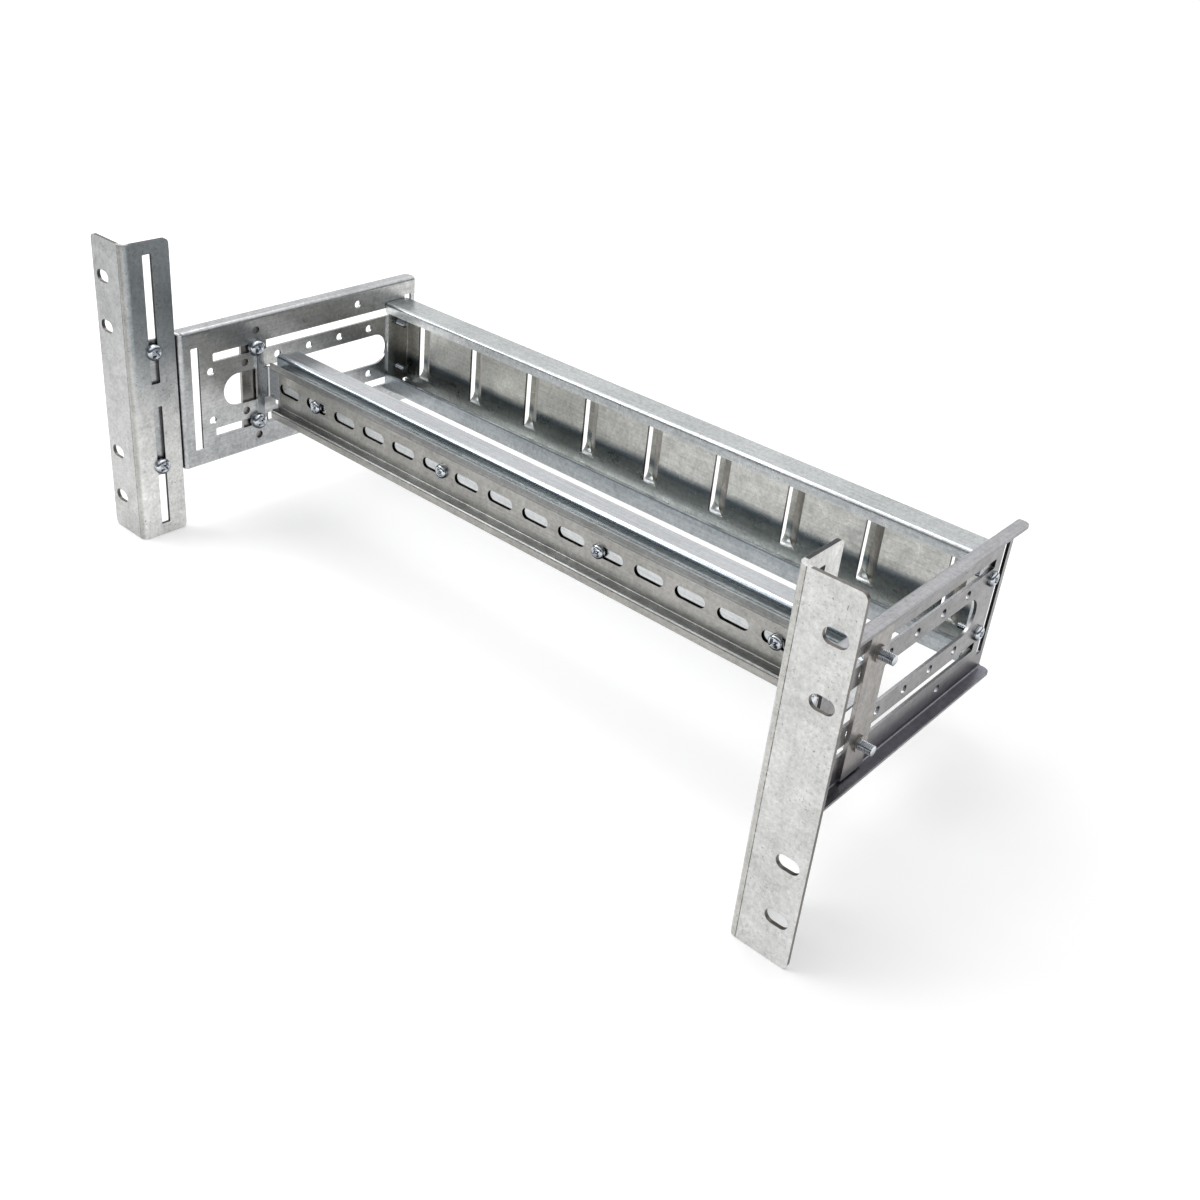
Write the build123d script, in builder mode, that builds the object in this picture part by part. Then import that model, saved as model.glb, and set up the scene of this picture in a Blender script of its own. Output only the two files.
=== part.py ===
from build123d import *
import os

os.makedirs("parts", exist_ok=True)

# Rack-mount panel that carries a DIN rail between two folded side plates.
# Millimetres. X runs across the rack, Y into the rack, Z up.
# The origin is the centre of the rack hole pattern, on the front face of the rack flanges.

# Hole pattern of a 19-inch rack, four units high
rack_hole_span = 465.1
rack_edge_margin = 8.75
rack_outer_rows = 133.35
rack_inner_rows = 76.2
rack_hole_length = 11.0
rack_hole_height = 7.0

# Rack brackets, folded angles
bracket_sheet = 2.0
bracket_bend = 3.8
bracket_height = 177.0
bracket_hole_inset = 20.45
bracket_depth = 28.7
bracket_front_corner = 3.0
bracket_rear_corner = 3.0
bracket_slot_width = 5.6
bracket_slot_setback = 15.0
bracket_slot_bridge = 14.0
bracket_slot_margin = 7.0
bracket_slot_corner = 0.6

# The frame between the brackets hangs a little lower than the hole pattern
frame_drop = 9.0

# Side plates, with flanges turned outward and a tongue stepped past the bracket
plate_sheet = 1.5
plate_bend = 2.5
plate_step = 2.0
plate_height = 85.0
plate_flange = 7.9
plate_flange_corner = 4.0
plate_front_gap = 1.0
plate_rear = 206.9
tongue_front = 5.0
tongue_end_gap = 1.0
tongue_corner = 2.0
relief_setback = 1.8
relief_width = 1.0

# Hole rows, slots and window of the side plates
row_edge_inset = 27.15
row_first = 49.7
row_last_inset = 14.88
row_count = 7
row_hole = 4.8
edge_hole = 4.8
edge_hole_inset = 9.0
edge_hole_first = 82.0
edge_hole_last_inset = 47.6
level_slot_height = 5.3
level_slot_start = 51.5
level_slot_rear_inset = 14.9
level_slot_inset = 19.0
upright_slot_width = 5.3
upright_slot_inset = 10.5
upright_slot_front = 39.7
upright_slot_rear_inset = 5.9
plate_slot_corner = 0.8
window_start = 58.0
window_rear_inset = 23.6
window_edge_inset = 32.5

# Front crossbar, a channel open to the back with a screw tab at each end
crossbar_sheet = 1.5
crossbar_bend = 2.8
crossbar_front = 89.0
crossbar_rail_margin = 2.5
crossbar_flange = 13.0
neck_length = 10.1
neck_height = 19.0
tab_front = 80.6
ear_width = 5.0
ear_radius = 5.2
crossbar_screw_setback = 81.0

# Clamp strips behind the crossbar's screws
strip_sheet = 2.0
strip_width = 18.0
strip_end_gap = 1.2
strip_collar = 8.0
strip_collar_height = 1.2

# Top-hat rail
rail_sheet = 1.0
rail_end_gap = 3.0
rail_width = 35.0
rail_depth = 7.5
rail_hat_width = 27.0
rail_inner_bend = 0.8
rail_slot_length = 18.0
rail_slot_height = 6.3
rail_slot_end_gap = 0.5
rail_slot_count = 16
rail_near_slot = 2.5
rail_near_shift = 6.5
rail_far_slot = 6.5
rail_far_shift = 0.5

# Rear crossmember, a lipped channel open to the front
member_sheet = 1.5
member_bend = 2.2
member_front_inset = 24.9
member_back_inset = 5.5
member_edge_gap = 12.5
member_upper_lip = 6.5
member_lower_lip = 12.0
member_end_gap = 0.3
member_tab_end_gap = 5.0
member_tab_setback = 1.5
member_relief = 3.6
member_relief_gap = 1.0

# Louvres pushed out of the crossmember's web
louvre_count = 9
louvre_side_margin = 18.1
louvre_width = 10.6
louvre_shoulder = 4.0
louvre_shoulder_share = 0.84
louvre_push = 5.0
louvre_top_margin = 7.2
louvre_bottom_margin = 7.2
louvre_end = 6.5

# Fasteners
large_screw = 5.0
large_head = 9.5
large_head_height = 3.2
large_nut_flats = 8.0
large_nut_height = 4.0
small_screw = 4.0
small_head = 8.0
small_head_height = 2.8
small_nut_flats = 7.0
small_nut_height = 3.2
screw_hole_clearance = 0.5
thread_clearance = 0.05
tip_chamfer = 0.6
recess_width = 1.1
recess_depth = 1.4
recess_share = 0.52
head_round_share = 0.45
bracket_screw_length = 10.0
bracket_screw_inset = 7.5
crossbar_screw_length = 13.0
member_screw_length = 10.0
rail_screw_length = 10.0

# Places worked out from the sizes above
frame_z = -frame_drop
panel_width = rack_hole_span + 2 * rack_edge_margin
bracket_inner_x = rack_hole_span / 2 - bracket_hole_inset
bracket_outer_x = bracket_inner_x + bracket_sheet
tongue_outer_x = bracket_outer_x + plate_sheet
tongue_height = plate_height - 2 * tongue_end_gap
plate_inner_x = bracket_inner_x - plate_step
plate_outer_x = plate_inner_x + plate_sheet
plate_front = bracket_depth + plate_front_gap
relief_start = plate_front + relief_setback
flange_front = relief_start + relief_width
row_pitch = (plate_rear - row_last_inset - row_first) / (row_count - 1)
edge_hole_spacing = plate_height - 2 * edge_hole_inset
edge_hole_last = plate_rear - edge_hole_last_inset
level_slot_spacing = plate_height - 2 * level_slot_inset
level_slot_end = plate_rear - level_slot_rear_inset
upright_slot_height = plate_height - 2 * upright_slot_inset
upright_slot_rear = plate_rear - upright_slot_rear_inset
window_end = plate_rear - window_rear_inset
window_height = plate_height - 2 * window_edge_inset
row_spacing = plate_height - 2 * row_edge_inset
bracket_screw_spacing = plate_height - 2 * bracket_screw_inset
strip_outer_x = plate_outer_x + strip_sheet
crossbar_height = rail_width + 2 * crossbar_rail_margin
crossbar_body = 2 * (plate_inner_x - neck_length)
crossbar_back = crossbar_front + crossbar_sheet
tab_inner_x = plate_inner_x - crossbar_sheet
rail_length = crossbar_body - 2 * rail_end_gap
rail_back = crossbar_front
rail_web_front = rail_back - rail_sheet
rail_slot_pitch = (rail_length - rail_slot_length - 2 * rail_slot_end_gap) / (rail_slot_count - 1)
rail_screw_near = rail_near_slot * rail_slot_pitch - rail_near_shift
rail_screw_far = rail_far_slot * rail_slot_pitch - rail_far_shift
member_front = plate_rear - member_front_inset
member_back = plate_rear - member_back_inset
member_tab_front = member_front + member_tab_setback
member_height = plate_height - 2 * member_edge_gap
member_tab_height = member_height - 2 * member_tab_end_gap
member_top = frame_z + member_height / 2
member_bottom = frame_z - member_height / 2
member_screw_setback = plate_rear - row_last_inset
member_tab_inner_x = plate_inner_x - member_sheet
louvre_pitch = 2 * (plate_inner_x - louvre_side_margin) / (louvre_count - 1)
louvre_top = member_top - louvre_top_margin
louvre_bottom = member_bottom + louvre_bottom_margin


def rounded_slot(start, end, middle, height, corner):
    """Slot along the plate, from start to end, at the height called middle."""
    with Locations(((start + end) / 2, middle)):
        RectangleRounded(end - start, height, corner)


# Right rack bracket: front flange for the rack, side flange with two adjusting slots
bracket_slot_length = (bracket_height - bracket_slot_bridge) / 2 - bracket_slot_margin
bracket_slot_middle = (bracket_slot_bridge + bracket_slot_length) / 2

with BuildPart() as right_rack_bracket:
    with BuildSketch(Plane.XY.offset(-bracket_height / 2)):
        with BuildLine():
            FilletPolyline(
                (panel_width / 2, 0),
                (bracket_inner_x, 0),
                (bracket_inner_x, bracket_depth),
                radius=bracket_bend,
            )
            offset(amount=bracket_sheet, side=Side.RIGHT)
        make_face()
    extrude(amount=bracket_height)
    front_corners = edges().filter_by(Axis.Y).group_by(Axis.X)[-1]
    fillet(front_corners, radius=bracket_front_corner)
    rear_corners = edges().filter_by(Axis.X).group_by(Axis.Y)[-1]
    fillet(rear_corners, radius=bracket_rear_corner)
    with BuildSketch(Plane.XZ):
        for rows in (rack_outer_rows, rack_inner_rows):
            with Locations((rack_hole_span / 2, rows / 2), (rack_hole_span / 2, -rows / 2)):
                SlotOverall(rack_hole_length, rack_hole_height)
    extrude(amount=-bracket_sheet, mode=Mode.SUBTRACT)
    with BuildSketch(Plane.YZ.offset(bracket_inner_x)):
        with Locations(
            (bracket_slot_setback, bracket_slot_middle),
            (bracket_slot_setback, -bracket_slot_middle),
        ):
            RectangleRounded(bracket_slot_width, bracket_slot_length, bracket_slot_corner)
    extrude(amount=bracket_sheet, mode=Mode.SUBTRACT)

with BuildPart() as left_rack_bracket:
    mirror(right_rack_bracket.part, about=Plane.YZ)


# Right side plate: stepped tongue, web, and flanges turned outward
plate_inner_bend = plate_bend - plate_sheet
web_flat_height = plate_height - 2 * plate_bend
bracket_screw_heights = [frame_z - bracket_screw_spacing / 2, frame_z + bracket_screw_spacing / 2]
row_heights = [frame_z - row_spacing / 2, frame_z + row_spacing / 2]
slot_heights = [frame_z - level_slot_spacing / 2, frame_z + level_slot_spacing / 2]
edge_heights = [frame_z - edge_hole_spacing / 2, frame_z + edge_hole_spacing / 2]

with BuildPart() as right_side_plate:
    # tongue, step and web in one folded strip
    with BuildSketch(Plane.XY.offset(frame_z - tongue_height / 2)):
        with BuildLine():
            FilletPolyline(
                (bracket_outer_x, tongue_front),
                (bracket_outer_x, plate_front),
                (plate_inner_x, plate_front),
                (plate_inner_x, plate_rear),
                radius=[plate_inner_bend, plate_bend],
            )
            offset(amount=plate_sheet, side=Side.RIGHT)
        make_face()
    extrude(amount=tongue_height)
    fillet(edges().filter_by(Axis.X).group_by(Axis.Y)[0], radius=tongue_corner)
    # behind the relief notch the web ends at its bends
    with BuildSketch(Plane.YZ.offset(plate_inner_x)):
        with Locations(((relief_start + plate_rear) / 2, frame_z)):
            Rectangle(plate_rear - relief_start, plate_height)
            Rectangle(plate_rear - relief_start, web_flat_height, mode=Mode.SUBTRACT)
    extrude(amount=plate_sheet, mode=Mode.SUBTRACT)
    # top and bottom flanges
    with BuildSketch(Plane.XZ.offset(-flange_front)):
        with BuildLine():
            FilletPolyline(
                (plate_inner_x + plate_flange, frame_z + plate_height / 2),
                (plate_inner_x, frame_z + plate_height / 2),
                (plate_inner_x, frame_z - plate_height / 2),
                (plate_inner_x + plate_flange, frame_z - plate_height / 2),
                radius=plate_bend,
            )
            offset(amount=plate_sheet, side=Side.LEFT)
        make_face()
    extrude(amount=-(plate_rear - flange_front))
    flange_corners = edges().filter_by(Axis.Z).group_by(Axis.X)[-1].group_by(Axis.Y)[-1]
    fillet(flange_corners, radius=plate_flange_corner)
    # hole rows, slots and the oblong window
    with BuildSketch(Plane.YZ.offset(plate_inner_x)):
        for height in row_heights:
            for hole_number in range(row_count):
                with Locations((row_first + row_pitch * hole_number, height)):
                    Circle(row_hole / 2)
        for height in edge_heights:
            with Locations((edge_hole_first, height), (edge_hole_last, height)):
                Circle(edge_hole / 2)
        for height in slot_heights:
            rounded_slot(level_slot_start, level_slot_end, height, level_slot_height, plate_slot_corner)
        with Locations((upright_slot_front, frame_z), (upright_slot_rear, frame_z)):
            RectangleRounded(upright_slot_width, upright_slot_height, plate_slot_corner)
        with Locations(((window_start + window_end) / 2, frame_z)):
            SlotOverall(window_end - window_start, window_height)
    extrude(amount=plate_sheet, mode=Mode.SUBTRACT)
    # holes for the bracket screws
    with BuildSketch(Plane.YZ.offset(bracket_outer_x)):
        for height in bracket_screw_heights:
            with Locations((bracket_slot_setback, height)):
                Circle(large_screw / 2 + screw_hole_clearance / 2)
    extrude(amount=plate_sheet, mode=Mode.SUBTRACT)

with BuildPart() as left_side_plate:
    mirror(right_side_plate.part, about=Plane.YZ)


# Clamp strips: flat bars with a drawn, tapped collar for each crossbar screw
strip_length = plate_height - 2 * plate_bend - 2 * strip_end_gap + 2 * plate_inner_bend

with BuildPart() as right_clamp_strip:
    with BuildSketch(Plane.YZ.offset(plate_outer_x)):
        with Locations((crossbar_screw_setback, frame_z)):
            Rectangle(strip_width, strip_length)
    extrude(amount=strip_sheet)
    with BuildSketch(Plane.YZ.offset(strip_outer_x)):
        for height in slot_heights:
            with Locations((crossbar_screw_setback, height)):
                Circle(strip_collar / 2)
    extrude(amount=strip_collar_height)
    with BuildSketch(Plane.YZ.offset(plate_outer_x)):
        for height in slot_heights:
            with Locations((crossbar_screw_setback, height)):
                Circle(large_screw / 2 + thread_clearance)
    extrude(amount=strip_sheet + strip_collar_height, mode=Mode.SUBTRACT)

with BuildPart() as left_clamp_strip:
    mirror(right_clamp_strip.part, about=Plane.YZ)


# Front crossbar: channel body, a neck at each end and the folded screw tabs
rail_screw_places = [-rail_screw_far, -rail_screw_near, rail_screw_near, rail_screw_far]

with BuildPart() as front_crossbar:
    with BuildSketch(Plane.YZ.offset(-crossbar_body / 2)):
        with BuildLine():
            FilletPolyline(
                (crossbar_front + crossbar_flange, frame_z + crossbar_height / 2),
                (crossbar_front, frame_z + crossbar_height / 2),
                (crossbar_front, frame_z - crossbar_height / 2),
                (crossbar_front + crossbar_flange, frame_z - crossbar_height / 2),
                radius=crossbar_bend,
            )
            offset(amount=crossbar_sheet, side=Side.LEFT)
        make_face()
    extrude(amount=crossbar_body)
    with BuildSketch(Plane.XY.offset(frame_z - neck_height / 2)):
        with BuildLine():
            FilletPolyline(
                (-plate_inner_x, tab_front),
                (-plate_inner_x, crossbar_back),
                (plate_inner_x, crossbar_back),
                (plate_inner_x, tab_front),
                radius=crossbar_bend,
            )
            offset(amount=crossbar_sheet, side=Side.RIGHT)
        make_face()
    extrude(amount=neck_height)
    for tab_face in (-plate_inner_x, tab_inner_x):
        with BuildSketch(Plane.YZ.offset(tab_face)):
            with Locations((tab_front + ear_width / 2, frame_z)):
                Rectangle(ear_width, level_slot_spacing)
            for height in slot_heights:
                with Locations((crossbar_screw_setback, height)):
                    Circle(ear_radius)
                    Circle(large_screw / 2 + screw_hole_clearance / 2, mode=Mode.SUBTRACT)
        extrude(amount=crossbar_sheet)
    with BuildSketch(Plane.XZ.offset(-crossbar_front)):
        for place in rail_screw_places:
            with Locations((place, frame_z)):
                Circle(small_screw / 2 + screw_hole_clearance / 2)
    extrude(amount=-crossbar_sheet, mode=Mode.SUBTRACT)


# Top-hat rail, lips forward, with its row of slots
rail_lip_front = rail_back - rail_depth
rail_hat_half = rail_hat_width / 2 - rail_sheet
rail_outer_bend = rail_inner_bend + rail_sheet

with BuildPart() as din_rail:
    with BuildSketch(Plane.YZ.offset(-rail_length / 2)):
        with BuildLine():
            FilletPolyline(
                (rail_lip_front, frame_z + rail_width / 2),
                (rail_lip_front, frame_z + rail_hat_half),
                (rail_web_front, frame_z + rail_hat_half),
                (rail_web_front, frame_z - rail_hat_half),
                (rail_lip_front, frame_z - rail_hat_half),
                (rail_lip_front, frame_z - rail_width / 2),
                radius=[rail_outer_bend, rail_inner_bend, rail_inner_bend, rail_outer_bend],
            )
            offset(amount=rail_sheet, side=Side.LEFT)
        make_face()
    extrude(amount=rail_length)
    with BuildSketch(Plane.XZ.offset(-rail_web_front)):
        with Locations((0, frame_z)):
            with GridLocations(rail_slot_pitch, 0, rail_slot_count, 1):
                SlotOverall(rail_slot_length, rail_slot_height)
    extrude(amount=-rail_sheet, mode=Mode.SUBTRACT)


# One louvre: a wedge in plan with drawn, rounded ends
member_web_front = member_back - member_sheet
louvre_middle = (louvre_top + louvre_bottom) / 2
louvre_length = louvre_top - louvre_bottom


def louvre_wedge(face, length):
    """Wedge that rises out of the web's face towards the louvre's open side."""
    half = length / 2
    with BuildPart() as wedge:
        with BuildSketch(Plane.XY.offset(louvre_middle - half)):
            with BuildLine():
                Polyline(
                    (-louvre_width / 2, face),
                    (louvre_width / 2, face),
                    (louvre_shoulder - louvre_width / 2, face + louvre_push * louvre_shoulder_share),
                    (-louvre_width / 2, face + louvre_push),
                    close=True,
                )
            make_face()
        extrude(amount=length)
        with BuildSketch(Plane.YZ.offset(-louvre_width / 2)):
            with BuildLine():
                back = face + louvre_push
                Line((face, louvre_middle - half), (face, louvre_middle + half))
                EllipticalCenterArc(
                    (face, louvre_middle + half - louvre_end),
                    louvre_push,
                    louvre_end,
                    start_angle=0,
                    arc_size=90,
                )
                Line(
                    (back, louvre_middle + half - louvre_end),
                    (back, louvre_middle - half + louvre_end),
                )
                EllipticalCenterArc(
                    (face, louvre_middle - half + louvre_end),
                    louvre_push,
                    louvre_end,
                    start_angle=270,
                    arc_size=90,
                )
            make_face()
        extrude(amount=louvre_width, mode=Mode.INTERSECT)
    return wedge.part


louvre_outside = louvre_wedge(member_back, louvre_length)
louvre_inside = louvre_wedge(member_web_front, louvre_length - 2 * member_sheet)
louvre_places = [louvre_pitch * (number - (louvre_count - 1) / 2) for number in range(louvre_count)]

# Rear crossmember: lipped channel, louvre row and a folded tab at each end
member_half_length = plate_inner_x - member_end_gap
member_relief_height = member_tab_height + 2 * member_relief_gap

with BuildPart() as rear_crossmember:
    with BuildSketch(Plane.YZ.offset(-member_half_length)):
        with BuildLine():
            FilletPolyline(
                (member_front, member_top - member_upper_lip),
                (member_front, member_top),
                (member_back, member_top),
                (member_back, member_bottom),
                (member_front, member_bottom),
                (member_front, member_bottom + member_lower_lip),
                radius=member_bend,
            )
            offset(amount=member_sheet, side=Side.RIGHT)
        make_face()
    extrude(amount=2 * member_half_length)
    with BuildSketch(Plane.XZ.offset(-member_web_front)):
        for side in (-1, 1):
            with Locations((side * (member_half_length - member_relief / 2), frame_z)):
                Rectangle(member_relief, member_relief_height)
    extrude(amount=-member_sheet, mode=Mode.SUBTRACT)
    with BuildSketch(Plane.XY.offset(frame_z - member_tab_height / 2)):
        with BuildLine():
            FilletPolyline(
                (-plate_inner_x, member_tab_front),
                (-plate_inner_x, member_back),
                (plate_inner_x, member_back),
                (plate_inner_x, member_tab_front),
                radius=member_bend,
            )
            offset(amount=member_sheet, side=Side.RIGHT)
        make_face()
    extrude(amount=member_tab_height)
    for place in louvre_places:
        add(louvre_outside.moved(Location((place, 0, 0))))
        add(louvre_inside.moved(Location((place, 0, 0))), mode=Mode.SUBTRACT)
    for tab_face in (-plate_inner_x, member_tab_inner_x):
        with BuildSketch(Plane.YZ.offset(tab_face)):
            for height in row_heights:
                with Locations((member_screw_setback, height)):
                    Circle(small_screw / 2 + thread_clearance)
        extrude(amount=member_sheet, mode=Mode.SUBTRACT)


def pan_screw(seat, size, length, head, head_height):
    """Pan-head screw: the seat plane is under the head and its normal points out of the head."""
    with BuildPart() as screw:
        with BuildSketch(seat):
            Circle(head / 2)
        extrude(amount=head_height)
        chamfer(
            edges().filter_by(GeomType.CIRCLE).sort_by(Axis(seat.origin, seat.z_dir))[-1],
            length=head_height * head_round_share,
        )
        with BuildSketch(seat):
            Circle(size / 2)
        extrude(amount=-length)
        chamfer(
            edges().filter_by(GeomType.CIRCLE).sort_by(Axis(seat.origin, seat.z_dir))[0],
            length=tip_chamfer,
        )
        with BuildSketch(seat.offset(head_height)):
            Rectangle(head * recess_share, recess_width)
            Rectangle(recess_width, head * recess_share)
        extrude(amount=-recess_depth, mode=Mode.SUBTRACT)
    return screw.part


def hex_nut(seat, size, flats, height):
    """Hexagon nut on the seat plane."""
    with BuildPart() as nut:
        with BuildSketch(seat):
            RegularPolygon(flats / 2, 6, major_radius=False)
            Circle(size / 2 + thread_clearance, mode=Mode.SUBTRACT)
        extrude(amount=height)
    return nut.part


def seat_plane(place, outward):
    """Plane at a screw's seat, its normal along outward and its x axis in the level plane."""
    return Plane(origin=place, x_dir=Vector(0, 0, 1), z_dir=outward)


fasteners = {}
level_names = ["lower", "upper"]
side_names = {"left": -1, "right": 1}

for side_name, side in side_names.items():
    inward = Vector(-side, 0, 0)
    outward = Vector(side, 0, 0)
    for level_name, height in zip(level_names, bracket_screw_heights):
        head_seat = seat_plane((side * bracket_inner_x, bracket_slot_setback, height), inward)
        nut_seat = seat_plane((side * tongue_outer_x, bracket_slot_setback, height), outward)
        fasteners[f"{side_name}_{level_name}_bracket_screw"] = pan_screw(
            head_seat, large_screw, bracket_screw_length, large_head, large_head_height
        )
        fasteners[f"{side_name}_{level_name}_bracket_nut"] = hex_nut(
            nut_seat, large_screw, large_nut_flats, large_nut_height
        )
    for level_name, height in zip(level_names, slot_heights):
        head_seat = seat_plane((side * tab_inner_x, crossbar_screw_setback, height), inward)
        fasteners[f"{side_name}_{level_name}_crossbar_screw"] = pan_screw(
            head_seat, large_screw, crossbar_screw_length, large_head, large_head_height
        )
    for level_name, height in zip(level_names, row_heights):
        head_seat = seat_plane((side * plate_outer_x, member_screw_setback, height), outward)
        fasteners[f"{side_name}_{level_name}_crossmember_screw"] = pan_screw(
            head_seat, small_screw, member_screw_length, small_head, small_head_height
        )

forward = Vector(0, -1, 0)
backward = Vector(0, 1, 0)
rail_screw_names = ["left_outer", "left_inner", "right_inner", "right_outer"]

for rail_screw_name, place in zip(rail_screw_names, rail_screw_places):
    head_seat = seat_plane((place, rail_web_front, frame_z), forward)
    nut_seat = seat_plane((place, crossbar_back, frame_z), backward)
    fasteners[f"{rail_screw_name}_rail_screw"] = pan_screw(
        head_seat, small_screw, rail_screw_length, small_head, small_head_height
    )
    fasteners[f"{rail_screw_name}_rail_nut"] = hex_nut(
        nut_seat, small_screw, small_nut_flats, small_nut_height
    )


right_rack_bracket.part.label = "right_rack_bracket"
left_rack_bracket.part.label = "left_rack_bracket"
right_side_plate.part.label = "right_side_plate"
left_side_plate.part.label = "left_side_plate"
right_clamp_strip.part.label = "right_clamp_strip"
left_clamp_strip.part.label = "left_clamp_strip"
front_crossbar.part.label = "front_crossbar"
din_rail.part.label = "din_rail"
rear_crossmember.part.label = "rear_crossmember"

export_step(right_rack_bracket.part, "parts/right_rack_bracket.step")
export_step(left_rack_bracket.part, "parts/left_rack_bracket.step")
export_step(right_side_plate.part, "parts/right_side_plate.step")
export_step(left_side_plate.part, "parts/left_side_plate.step")
export_step(right_clamp_strip.part, "parts/right_clamp_strip.step")
export_step(left_clamp_strip.part, "parts/left_clamp_strip.step")
export_step(front_crossbar.part, "parts/front_crossbar.step")
export_step(din_rail.part, "parts/din_rail.step")
export_step(rear_crossmember.part, "parts/rear_crossmember.step")

for fastener_name, fastener in fasteners.items():
    fastener.label = fastener_name
    export_step(fastener, f"parts/{fastener_name}.step")
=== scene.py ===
from math import cos, pi, radians

import bpy
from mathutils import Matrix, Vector


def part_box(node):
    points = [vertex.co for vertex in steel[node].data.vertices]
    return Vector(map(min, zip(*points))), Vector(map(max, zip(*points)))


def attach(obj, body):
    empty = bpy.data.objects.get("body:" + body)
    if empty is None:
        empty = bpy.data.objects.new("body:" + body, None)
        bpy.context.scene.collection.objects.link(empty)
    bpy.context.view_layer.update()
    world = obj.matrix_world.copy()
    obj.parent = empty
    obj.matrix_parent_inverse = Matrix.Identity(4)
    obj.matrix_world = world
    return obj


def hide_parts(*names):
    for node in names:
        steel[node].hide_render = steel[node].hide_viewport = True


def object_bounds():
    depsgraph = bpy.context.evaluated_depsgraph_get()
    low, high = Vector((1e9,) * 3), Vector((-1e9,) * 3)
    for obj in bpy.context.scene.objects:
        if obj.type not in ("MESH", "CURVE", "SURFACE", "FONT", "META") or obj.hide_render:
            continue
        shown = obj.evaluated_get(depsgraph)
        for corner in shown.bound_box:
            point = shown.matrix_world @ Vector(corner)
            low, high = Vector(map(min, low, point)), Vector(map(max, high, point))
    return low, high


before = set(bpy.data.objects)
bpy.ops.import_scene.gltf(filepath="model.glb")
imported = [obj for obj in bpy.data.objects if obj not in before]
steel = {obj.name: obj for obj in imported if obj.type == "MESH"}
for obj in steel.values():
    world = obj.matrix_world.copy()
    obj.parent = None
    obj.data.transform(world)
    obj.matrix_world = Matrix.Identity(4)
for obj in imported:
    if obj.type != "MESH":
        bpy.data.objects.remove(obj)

# The imported model's own box, which sets the floor's height
cad_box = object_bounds()

MM = 0.001

# Camera of the photograph: place in metres, turn in degrees, image 1200 by 1200
IMAGE_SIZE = 1200
SENSOR_WIDTH = 36.0
CAMERA_PLACE = (0.41095, -0.36721, 0.31703)
CAMERA_TURN = (60.702, -4.677, 41.982)
FOCAL_PIXELS = 1347.2
AXIS_PIXEL_X = 570.7
AXIS_PIXEL_Y = 541.7

# The brackets' lower ends stand on the floor
FLOOR_GAP = 0.2 * MM
FLOOR_SIZE = 8.0


def deselect_all():
    """Nothing stays selected or active before the next piece is modelled."""
    if bpy.context.object is not None and bpy.context.object.mode != "OBJECT":
        bpy.ops.object.mode_set(mode="OBJECT")
    bpy.ops.object.select_all(action="DESELECT")


def set_camera():
    """Camera at the photograph's place and angle."""
    deselect_all()
    bpy.ops.object.camera_add(location=CAMERA_PLACE, rotation=[radians(a) for a in CAMERA_TURN])
    camera = bpy.context.object
    camera.name = "photo_camera"
    camera.data.sensor_width = SENSOR_WIDTH
    camera.data.lens = SENSOR_WIDTH * FOCAL_PIXELS / IMAGE_SIZE
    camera.data.shift_x = (IMAGE_SIZE / 2 - AXIS_PIXEL_X) / IMAGE_SIZE
    camera.data.shift_y = (AXIS_PIXEL_Y - IMAGE_SIZE / 2) / IMAGE_SIZE
    camera.data.clip_start = 0.01
    bpy.context.scene.camera = camera


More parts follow.
